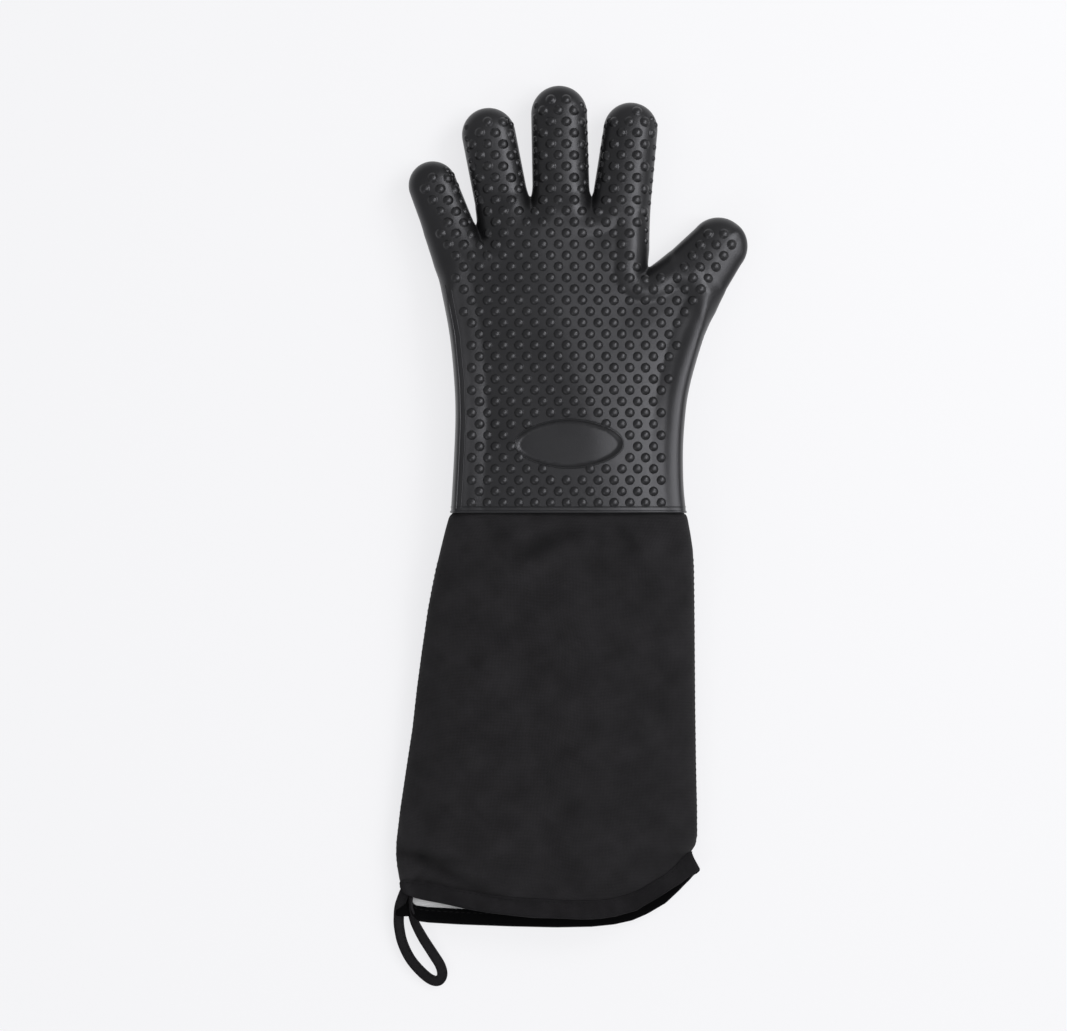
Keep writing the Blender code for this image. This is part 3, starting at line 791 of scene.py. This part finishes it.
def cuff_surface():
    """The cuff's outside as a closed grid, with each place's tone: random patches, painted shade and
    highlight from the folds and painted shade along the lower right edge.

    Rows run from the wrist to the hem, columns from the thumb side over the top.
    """
    angle = np.arange(COLUMNS) * math.tau / COLUMNS
    side, top = np.cos(angle), np.sin(angle)
    across = np.sign(side) * np.abs(side) ** (2 / CUFF_POWER[1])
    hem_x = HEM_X[0] + (across + 1) / 2 * (HEM_X[1] - HEM_X[0])
    hem = np.where(top > 0, curve(HEM_FRONT, hem_x), curve(HEM_BACK, hem_x))
    share = np.linspace(0, 1, BODY_ROWS)[:, None]
    body = CUFF_TOP_Y + (hem + HEM_ROWS - CUFF_TOP_Y)[None, :] * share
    lower = hem[None, :] + HEM_ROWS - 1 - np.arange(HEM_ROWS)[:, None]
    y = np.concatenate([body, lower])
    power = np.interp(y, (WRIST_Y - CUFF_POWER_REACH, WRIST_Y), (CUFF_POWER[1], CUFF_POWER[0]))
    across = np.sign(side) * np.abs(side) ** (2 / power)
    up = np.sign(top) * np.abs(top) ** (2 / power)
    left, right = curve(CUFF_LEFT, y), curve(CUFF_RIGHT, y)
    side, top = curve(CUFF_HEIGHTS, y), curve(CUFF_HEIGHTS, y, 2)
    x = (left + right) / 2 + across * (right - left) / 2
    under = np.maximum(up * (side - UNDERSIDE) * 1.25, UNDERSIDE - side)
    z = side + np.where(up > 0, up * (top - side), under)
    front = np.clip(up, 0, 1) ** 0.5
    calm = np.clip((CUFF_TOP_Y - 10 - y) / CALM_LENGTH, 0, 1)
    z = z + front * calm * SWELL * ripple(x, y, 5)
    fold = np.zeros_like(z)
    for ends, depth, width in CUFF_FOLDS:
        fold = fold + depth * fold_line(x, y, ends, width)
    fold = fold * np.clip((WRIST_Y - y) / 6, 0, 1)
    z = z + front * fold * np.clip((x + 104) / 5, 0, 1)
    gather = np.exp(-((y + 2) / GATHER_HALF) ** 2)
    z = z + front * gather * GATHER * np.sin(x / 3.1 + 1.3 * np.sin(x / 17))
    # painted shade along the lower right part of the mouth's edge, kept in the stored tone
    painted_edge_shade = np.clip(1 - (y - hem) / EDGE_SHADE, 0, 1) * np.clip((x - 10) / 40, 0, 1)
    # painted highlight on the folds' ridges and painted shade in their valleys, over random patches
    # of tone from two ripples
    tone = np.clip(fold / 2.4, -1, 1) + 0.35 * ripple(x, y, 11) + 0.25 * ripple(2.6 * x, 2.6 * y, 3)
    return np.stack([x, y, z], -1), (tone - painted_edge_shade) * (up > 0)


def grid_normals(grid):
    """Outward normals of the closed grid."""
    down = np.gradient(grid, axis=0)
    around = (np.roll(grid, -1, 1) - np.roll(grid, 1, 1)) / 2
    normal = np.cross(around, down)
    normal /= np.maximum(np.linalg.norm(normal, axis=2)[:, :, None], 1e-9)
    middle = grid.mean(axis=1, keepdims=True)
    return normal * np.sign((normal * (grid - middle)).sum())


def up_from_hem(grid, count):
    """The grid's points this many rows above the hem, column by column."""
    row = grid.shape[0] - 1 - count
    low = np.minimum(np.floor(row).astype(int), grid.shape[0] - 2)
    part = (row - low)[:, None]
    column = np.arange(grid.shape[1])
    return grid[low, column] * (1 - part) + grid[low + 1, column] * part


def walked(grid):
    """Distances round and along the cloth, in millimetres, as a place on the flat cloth."""
    along, around = np.zeros((2, *grid.shape[:2]))
    along[1:] = np.cumsum(np.linalg.norm(np.diff(grid, axis=0), axis=2), axis=0)
    around[:, 1:] = np.cumsum(np.linalg.norm(np.diff(grid, axis=1), axis=2), axis=1)
    return np.stack([around, along, np.zeros_like(along)], -1)


def slab(name, outer, inner, cloth, material, closed=False):
    """A sheet with thickness between two grids; closed joins the last column to the first."""
    rows, columns = outer.shape[:2]
    points = np.concatenate([outer.reshape(-1, 3), inner.reshape(-1, 3)])
    last, end = rows - 1, columns - 1

    def at(k, i, j):
        return (k * rows + i) * columns + j % columns

    faces = []
    across = range(columns if closed else columns - 1)
    for i in range(last):
        for j in across:
            faces.append((at(0, i, j), at(0, i + 1, j), at(0, i + 1, j + 1), at(0, i, j + 1)))
            faces.append((at(1, i, j), at(1, i, j + 1), at(1, i + 1, j + 1), at(1, i + 1, j)))
    for j in across:
        faces.append((at(0, 0, j), at(0, 0, j + 1), at(1, 0, j + 1), at(1, 0, j)))
        faces.append((at(0, last, j), at(1, last, j), at(1, last, j + 1), at(0, last, j + 1)))
    for i in range(0 if closed else last):
        faces.append((at(0, i, 0), at(1, i, 0), at(1, i + 1, 0), at(0, i + 1, 0)))
        faces.append((at(0, i, end), at(0, i + 1, end), at(1, i + 1, end), at(1, i, end)))
    made = mesh_object(name, points, faces, material)
    keep_rest(made.data, np.concatenate([cloth.reshape(-1, 3)] * 2) * MM)
    outward(made)
    return made


def outward(piece):
    """Turn a closed mesh's faces to the outside."""
    shape = bmesh.new()
    shape.from_mesh(piece.data)
    bmesh.ops.recalc_face_normals(shape, faces=shape.faces)
    shape.to_mesh(piece.data)
    shape.free()


def over_wrist(piece):
    """Bake the place of a piece of the cuff into its mesh."""
    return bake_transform(piece)


STITCH_SIDES, STITCH_RINGS = 6, 5


def stitch_row(points, normals, length, pitch, thick, depth=0.25):
    """Points and faces of stitches that follow a line, each diving into the cloth at both ends."""
    steps = np.linalg.norm(np.diff(points, axis=0), axis=1)
    place = np.concatenate([[0], np.cumsum(steps)])

    def read(rows, at):
        return np.array([np.interp(at, place, rows[:, k]) for k in range(3)])

    out, faces = [], []
    for start in np.arange(pitch * 0.3, place[-1] - length, pitch):
        faces += closed_tube(len(out), STITCH_RINGS, STITCH_SIDES)
        for t in np.linspace(0, 1, STITCH_RINGS):
            at = start + length * t
            ahead = unit(read(points, at + 0.3) - read(points, at - 0.3))
            up = unit(read(normals, at))
            side = np.cross(ahead, up)
            arch = math.sin(math.pi * t)
            middle = read(points, at) + up * (thick * (0.2 + 0.9 * arch) - depth)
            radius = thick * (0.55 + 0.45 * arch)
            for k in range(STITCH_SIDES):
                a = math.tau * k / STITCH_SIDES
                out.append(middle + (side * math.cos(a) + up * math.sin(a)) * radius)
    return out, faces


def join_stitches(name, rows, material):
    """One object from several rows of stitches."""
    points, faces = [], []
    for more, more_faces in rows:
        faces += [tuple(i + len(points) for i in f) for f in more_faces]
        points += more
    piece = mesh_object(name, points, faces, material)
    keep_rest(piece.data)
    outward(piece)
    return piece


def flat_area(grid):
    """Area of a grid, in square metres."""
    a = grid[1:, 1:] - grid[:-1, :-1]
    b = grid[1:, :-1] - grid[:-1, 1:]
    return float(np.linalg.norm(np.cross(a, b), axis=2).sum() / 2) * MM * MM


def hem_tape(base, normal, tone, narrow, outside, inside):
    """The hem binding: out, round the edge and back up inside."""
    drop = base[-1] - base[-3]
    drop /= np.linalg.norm(drop, axis=1)[:, None]

    def lifted(count, height):
        return up_from_hem(base, count) + up_from_hem(normal, count) * height

    profile = [lifted(BINDING_ROWS * narrow, BINDING_LIP)]
    for k in range(BINDING_ROWS, -1, -1):
        groove = 0.16 * math.exp(-((k - HEM_STITCHES) / 0.8) ** 2)
        share = BINDING_EDGE if k == BINDING_ROWS else 1.0 - groove
        profile.append(lifted(k * narrow, BINDING * share))
    middle, reach = -WALL / 2, WALL / 2 + BINDING
    for degrees in (60, 30, 0, -30, -60):
        a = math.radians(degrees)
        profile.append(base[-1] + normal[-1] * (middle + reach * math.sin(a))
                       + drop * (0.25 + 1.5 * math.cos(a)))
    inner = [(k, WALL + BINDING) for k in range(BINDING_INSIDE_ROWS + 1)]
    for k, depth in inner + [(BINDING_INSIDE_ROWS, WALL - 0.4), (BINDING_ROWS - 3, 1.0)]:
        profile.append(base[-1 - k] - normal[-1 - k] * depth)
    ring = np.array(profile)
    starts = [i * COLUMNS for i in range(len(ring))]
    faces = [(low + j, high + j, high + (j + 1) % COLUMNS, low + (j + 1) % COLUMNS)
             for low, high in zip(starts, starts[1:] + starts[:1]) for j in range(COLUMNS)]
    binding = mesh_object("hem_tape", ring.reshape(-1, 3), faces, outside)
    binding.data.materials.append(inside)
    inside_from = BINDING_ROWS + 6  # the rows from here on face inward and take the much darker copy of the tape, a painted shade
    for k, face in enumerate(binding.data.polygons):
        row = k // COLUMNS - inside_from
        face.material_index = int(0 <= row <= BINDING_INSIDE_ROWS + 1)
    keep_rest(binding.data, walked(ring).reshape(-1, 3) * MM)
    # the binding takes the stored tone of a row near the hem, with its painted shade
    keep_wear_and_shade(binding.data, np.tile(tone[-4], len(ring)))
    outward(binding)
    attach(binding, "cuff")
    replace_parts(binding, "hem_binding")
    return binding


def cuff(canvas, lining, tape, painted_shade_tape, thread):
    """The canvas panels, the quilted lining, the hem's binding and the stitches."""
    base, tone = cuff_surface()
    normal = grid_normals(base)
    cloth = walked(base)
    rows, half = base.shape[0], COLUMNS // 2
    columns = np.arange(COLUMNS)
    off_seam = np.minimum(np.minimum(columns, COLUMNS - columns), np.abs(columns - half))
    pull = np.exp(-(off_seam / SEAM_REACH) ** 2)[None, :, None]
    outside = base - normal * pull * SEAM_PULL
    panels, areas = {}, {}
    for side, chosen, seam in (("front", columns[:half + 1], "side_seam_left"),
                               ("back", np.append(columns[half:], 0), "side_seam_right")):
        outer = outside[:, chosen]
        inner = outer - normal[:, chosen] * CANVAS
        panel = slab("canvas_" + side, outer, inner, cloth[:, chosen], canvas)
        keep_wear_and_shade(panel.data, np.concatenate([tone[:, chosen].ravel()] * 2))
        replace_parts(over_wrist(panel), "cuff_canvas_" + side, seam)
        panels[side], areas[side] = panel, flat_area(outer)
    # the quilted lining with its wadding
    quilt = QUILT_DEPTH * np.abs(np.sin(cloth[:, :, :2] / QUILT_PITCH)) ** 0.5
    quilt = quilt.sum(2, keepdims=True)
    keep = slice(2, None, 2)
    outer = (base - normal * (CANVAS + 0.3))[keep, ::2]
    inner = (base - normal * (WALL + 0.6 - quilt))[keep, ::2]
    wadded = slab("quilted_lining", outer, inner, cloth[keep, ::2], lining, True)
    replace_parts(over_wrist(wadded), "cuff_wadding_front", "cuff_wadding_back", "cuff_lining_front",
                "cuff_lining_back")
    narrow = 1 - BINDING_TAPER * np.clip(1 - np.abs(columns - half) / TAPER_COLUMNS, 0, 1) ** 2
    binding = hem_tape(base, normal, tone, narrow, tape, painted_shade_tape)
    # two rows of stitches hold the binding, one outside and one inside
    line = HEM_STITCHES * narrow
    facing = up_from_hem(normal, line)
    seam = up_from_hem(base, line) + facing * BINDING * 0.86
    low = rows - 1 - (BINDING_INSIDE_ROWS - 2)
    under = base[low] - normal[low] * (WALL + BINDING)
    around = np.append(columns, 0)
    hem = join_stitches("hem_stitches", [
        stitch_row(seam[around], facing[around], *STITCH, 0.3),
        stitch_row(under[around], -normal[low][around], *STITCH, 0.3)], thread)
    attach(hem, "cuff")
    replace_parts(hem, "hem_stitching")
    # a line of stitches beside each side seam
    spots = slice(24, rows - BINDING_ROWS - 3)
    sides = join_stitches("side_stitches", [
        stitch_row(outside[spots, column], normal[spots, column], *STITCH, 0.27)
        for column in (4, half - 4, half + 4, COLUMNS - 4)], thread)
    over_wrist(sides)
    for side, sewn in (("front", [binding, hem, sides]), ("back", ())):
        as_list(sewn)


# ---- hanging loop
LOOP_PATH = ((-98.6, -211.5, 10.8), (-100.4, -216.2, 9.8), (-101.9, -221.0, 8.3),
             (-102.5, -226.5, 6.6), (-102.4, -233.5, 5.2), (-100.4, -243.2, 4.2),
             (-95.8, -253.0, 3.3), (-89.2, -261.0, 2.4), (-83.2, -265.8, 1.8),
             (-78.8, -266.4, 1.6), (-76.6, -262.8, 1.8), (-77.8, -257.2, 2.3),
             (-82.0, -250.2, 3.0), (-88.0, -240.6, 4.4), (-92.4, -232.0, 6.2),
             (-94.6, -226.0, 7.8), (-95.6, -220.5, 9.6), (-95.2, -214.0, 11.6))
LOOP_WIDE, LOOP_THICK = 6.3, 1.6
LOOP_SIDES, LOOP_SQUARE = 16, 0.55  # points round the tape, and how square its edges are
LOOP_TWIST, TWIST_FROM = math.radians(70), 0.66  # it turns on edge over the last part of its length
STRAP_STITCHES = 6  # the stitches stop this many steps short of each end
TAB_CENTRE, TAB_SIZE = (-97.9, -219.3, 9.0), (10.6, 15.0, 1.5)


def strap_tab(tape):
    """The tape's folded ends, sewn flat inside the mouth's corner, where both strands come out."""
    (cx, cy, cz), (wide, long, thick) = TAB_CENTRE, TAB_SIZE
    v, u = np.meshgrid(np.linspace(1, -1, 17), np.linspace(-1, 1, 13), indexing="ij")
    squeeze = 1 - 0.06 * np.maximum(0.0, v) - 0.10 * np.abs(v) ** 8
    points = np.stack([cx + u * squeeze * wide / 2 + 1.3 * v,
                       cy + v * (1 - 0.06 * np.abs(u) ** 6) * long / 2,
                       cz + 0.5 * v - 0.9 * u * u + 0.25 * np.sin(3.5 * u + 1)], -1)
    lift = np.array((0, 0, thick / 2))
    tab = slab("strap_tab", points + lift, points - lift, points * (1, 1, 0), tape)
    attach(tab, "cuff")


def loop(tape, painted_shade_tape, thread):
    """The folded tape, an even strap on one smooth curve, both ends sewn to the hem's corner."""
    path = smooth_curve(LOOP_PATH, 10)
    section = []
    for k in range(LOOP_SIDES):
        a = math.tau * k / LOOP_SIDES
        section.append([math.copysign(abs(w) ** LOOP_SQUARE, w) * size / 2
                        for w, size in ((math.cos(a), LOOP_WIDE), (math.sin(a), LOOP_THICK))])
    points, cloth, frames, walk = [], [], [], 0.0
    for i, p in enumerate(path):
        ahead = unit(path[min(i + 1, len(path) - 1)] - path[max(i - 1, 0)])
        side = unit(np.cross(ahead, (0.0, 0.0, 1.0)))
        over = np.cross(side, ahead)
        late = (i / (len(path) - 1) - TWIST_FROM) / (1 - TWIST_FROM)
        turn = LOOP_TWIST * smooth_step(max(0.0, late))
        c, s = math.cos(turn), math.sin(turn)
        side, over = side * c + over * s, over * c - side * s
        walk += np.linalg.norm(path[i] - path[i - 1]) if i else 0
        for u, v in section:
            # the tape's edges stand a little above its middle, as on a folded tape
            dish = 0.22 * (abs(u) / LOOP_WIDE * 2) ** 4
            points.append(p + side * u + over * (v * (1 + dish)))
            cloth.append((u + 40, walk, 0))
        frames.append((p, side, over))
    strap = mesh_object("hanging_strap", points, closed_tube(0, len(path), LOOP_SIDES), tape)
    keep_rest(strap.data, np.array(cloth) * MM)
    outward(strap)
    rows = []
    sewn = frames[STRAP_STITCHES:-STRAP_STITCHES]
    for offset in (-0.32, 0.32):
        for face in (1, -1):
            line = np.array([p + side * offset * LOOP_WIDE + over * face * LOOP_THICK * 0.5
                             for p, side, over in sewn])
            normals = np.array([over * face for _, _, over in sewn])
            rows.append(stitch_row(line, normals, 2.1, 3.0, 0.22, 0.1))
    # bar tacks across both ends
    for i in (STRAP_STITCHES, len(frames) - STRAP_STITCHES - 2):
        p, side, over = frames[i]
        ahead = np.cross(over, side)
        for k in range(5):
            shift = ahead * (k - 2) * 0.5 + over * LOOP_THICK * 0.5
            line = np.array([p + side * t * LOOP_WIDE * 0.42 + shift
                             for t in (-1, -0.5, 0, 0.5, 1)])
            rows.append(stitch_row(line, np.array([over] * 5), LOOP_WIDE * 0.7, 20, 0.24, 0.05))
    sewing = join_stitches("strap_stitches", rows, thread)
    # the tab sits inside the mouth's corner in the much darker copy of the tape, a painted shade
    strap_tab(painted_shade_tape)
    for piece in (strap, sewing):
        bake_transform(piece)
    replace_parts(strap, "hanging_loop", "loop_end")


# ---- materials
class Nodes:
    """A new material; its nodes' inputs are set to values or linked to other nodes' outputs."""

    def __init__(self, name):
        self.material = bpy.data.materials.new(name)
        self.material.use_nodes = True
        self.tree = self.material.node_tree

    def feed(self, node, inputs):
        for name, value in inputs.items():
            if isinstance(value, bpy.types.NodeSocket):
                self.tree.links.new(value, node.inputs[name])
            else:
                node.inputs[name].default_value = value
        return node.outputs

    def add(self, kind, inputs, **settings):
        node = self.tree.nodes.new("ShaderNode" + kind)
        for name, value in settings.items():
            setattr(node, name, value)
        return self.feed(node, inputs)

    def attribute(self, name, output):
        return self.add("Attribute", {}, attribute_name=name)[output]

    def noise(self, scale, detail=2.0, roughness=0.5):
        inputs = {"Vector": self.attribute("rest", "Vector"), "Scale": scale, "Detail": detail}
        return self.add("TexNoise", {**inputs, "Roughness": roughness})["Fac"]

    def maths(self, operation, *values):
        return self.add("Math", dict(enumerate(values)), operation=operation)[0]

    def bump(self, height, strength, distance):
        return self.add("Bump", {"Height": height, "Strength": strength, "Distance": distance})[0]

    def ramp(self, value, dark, light, ends=(0, 1)):
        node = self.tree.nodes.new("ShaderNodeValToRGB")
        for stop, place, colour in zip(node.color_ramp.elements, ends, (dark, light)):
            stop.position, stop.color = place, (*colour, 1)
        return self.feed(node, {"Fac": value})["Color"]

    def finish(self, inputs):
        self.feed(self.tree.nodes["Principled BSDF"], inputs)
        return self.material


def silicone_material():
    """Black silicone, slightly uneven in tone and gloss, with a fine grain."""
    made = Nodes("silicone")
    broad = made.noise(28, 4)
    return made.finish({
        "Base Color": made.ramp(broad, (0.0048, 0.0048, 0.0052), (0.0080, 0.0080, 0.0085),
                                (0.35, 0.7)),
        "Roughness": made.add("MapRange", {"Value": broad, "To Min": 0.31, "To Max": 0.40})[0],
        "Normal": made.bump(made.noise(1400, 3), 0.12, 0.0004),
        "Specular IOR Level": 0.38, "Specular Tint": (0.94, 0.94, 1.0, 1)})


# How much of a cloth's tone comes from its threads, its slow patches (and their base) and its stored
# wear and painted shade
THREAD_TONE, PATCH_TONE, PATCH_BASE, WEAR_AND_SHADE_TONE = 0.45, 0.37, 0.09, 0.17


def cloth_material(name, dark, light, pitch, relief, roughness, sheen, twill=False, shine=0.12):
    """A woven cloth: crossing threads as height and a change of tone, over random patches and the
    stored wear and painted shade.
    """
    made = Nodes(name)
    do = made.maths
    place = made.add("SeparateXYZ", {0: made.attribute("rest", "Vector")})
    shift = do("MULTIPLY", do("SUBTRACT", made.noise(260, 2), 0.5), 0.5)
    u, v = (do("ADD", do("DIVIDE", place[axis], pitch * MM), shift) for axis in "XY")
    hump_u, hump_v = (do("ABSOLUTE", do("SINE", do("MULTIPLY", w, math.pi))) for w in (u, v))
    step = do("ADD", do("FLOOR", u), do("FLOOR", v))
    over = do("LESS_THAN", do("FLOORED_MODULO", step, 3.0 if twill else 2.0), 0.5)
    warp, weft = (do("MULTIPLY", a, do("ADD", 0.45, do("MULTIPLY", b, 0.55)))
                  for a, b in ((hump_u, hump_v), (hump_v, hump_u)))
    height = made.add("Mix", {"Factor": over, "A": warp, "B": weft})[0]
    patches = do("MULTIPLY_ADD", made.noise(60, 6, 0.6), PATCH_TONE, PATCH_BASE)
    tone = do("ADD", do("MULTIPLY", height, THREAD_TONE), patches)
    # the stored tone: random wear with painted shade and painted highlight from the folds
    tone = do("ADD", tone, do("MULTIPLY", made.attribute("wear_and_painted_shade", "Fac"), WEAR_AND_SHADE_TONE))
    return made.finish({
        "Base Color": made.ramp(tone, dark, light, (0.28, 0.78)),
        "Normal": made.bump(height, 0.6, relief * MM), "Roughness": roughness,
        "Specular IOR Level": shine, "Sheen Weight": sheen, "Sheen Roughness": 0.5})


def thread_material():
    """Dull black thread."""
    made = Nodes("thread")
    return made.finish({
        "Base Color": made.ramp(made.noise(2500), (0.003, 0.003, 0.0033), (0.008, 0.008, 0.0086)),
        "Roughness": 0.8, "Specular IOR Level": 0.1})


# ---- camera and light
FLOOR_HALF, FLOOR_Z = 9000, -1.0  # the floor lies just under the lowest bumps
WORLD_STRENGTH = 0.55
LIGHTS = (  # name, place, aim, size and power
    ("key", (0.80, 0.62, 1.00), (0, 0.06, 0), (0.55, 0.55), 9),
    ("softbox", (0.86, 0.02, 2.1), (0, 0.02, 0), (0.6, 1.5), 19.5),
    ("strip", (1.45, -0.08, 1.45), (0, 0.02, 0), (0.35, 1.9), 6),
    ("kicker", (-0.70, -0.85, 1.05), (0, 0.02, 0), (0.45, 0.45), 2.4))


def camera():
    """Straight above the glove, with a long lens."""
    data = bpy.data.cameras.new("camera")
    data.lens, data.sensor_width = 100, 36
    made = add_object("camera", data)
    made.location = (-0.0217, 0.0134, 1.785)
    bpy.context.scene.camera = made


def area_light(name, place, aim, size, power):
    """A rectangular light turned to what it lights."""
    data = bpy.data.lights.new(name, "AREA")
    data.shape, (data.size, data.size_y), data.energy = "RECTANGLE", size, power
    made = add_object(name, data)
    made.location = place
    made.rotation_euler = (Vector(place) - Vector(aim)).to_track_quat("Z", "Y").to_euler()


def studio():
    """White surroundings, four lights and a pale floor."""
    scene = bpy.context.scene
    scene.view_settings.view_transform = "Standard"
    scene.world = bpy.data.worlds.new("studio")
    scene.world.use_nodes = True
    background = scene.world.node_tree.nodes["Background"]
    background.inputs["Color"].default_value = (1, 1, 1, 1)
    background.inputs["Strength"].default_value = WORLD_STRENGTH
    for light in LIGHTS:
        area_light(*light)
    pale = Nodes("floor").finish({
        "Base Color": (0.12, 0.12, 0.122, 1), "Emission Color": (0.98, 0.98, 1.0, 1),
        "Emission Strength": 0.768, "Roughness": 0.9})
    corners = [(x * FLOOR_HALF, y * FLOOR_HALF, FLOOR_Z)
               for x, y in ((-1, -1), (1, -1), (1, 1), (-1, 1))]
    mesh_object("floor", corners, [(0, 1, 2, 3)], pale, False)


camera()
studio()
silicone = silicone_material()
canvas = cloth_material("canvas", (0.0036, 0.0034, 0.0039), (0.0184, 0.0174, 0.0194),
                        0.85, 0.30, 0.85, 0.05)
lining = cloth_material("lining", (0.50, 0.50, 0.51), (0.72, 0.72, 0.73), 1.1, 0.3, 0.9, 0.2)
knit = cloth_material("knit", (0.30, 0.30, 0.31), (0.50, 0.50, 0.51), 1.4, 0.4, 0.9, 0.2)
tape = cloth_material("tape", (0.0040, 0.0038, 0.0043), (0.0190, 0.0182, 0.0200),
                      0.7, 0.25, 0.85, 0.0, True, 0.06)
# the same tape much darker, for its faces inside the mouth: painted shade
painted_shade_tape = cloth_material("painted_shade_tape", (0.0010, 0.0010, 0.0012), (0.0022, 0.0022, 0.0025),
                            0.7, 0.2, 0.9, 0.0, True, 0.04)
thread = thread_material()
silicone_hand(silicone)
liner_hand(knit)
cuff(canvas, lining, tape, painted_shade_tape, thread)
loop(tape, painted_shade_tape, thread)
for node, finish in (("wrist_tape", tape), ("wrist_stitching", thread)):
    for slot in frame["nodes"][node].material_slots:
        slot.material = finish
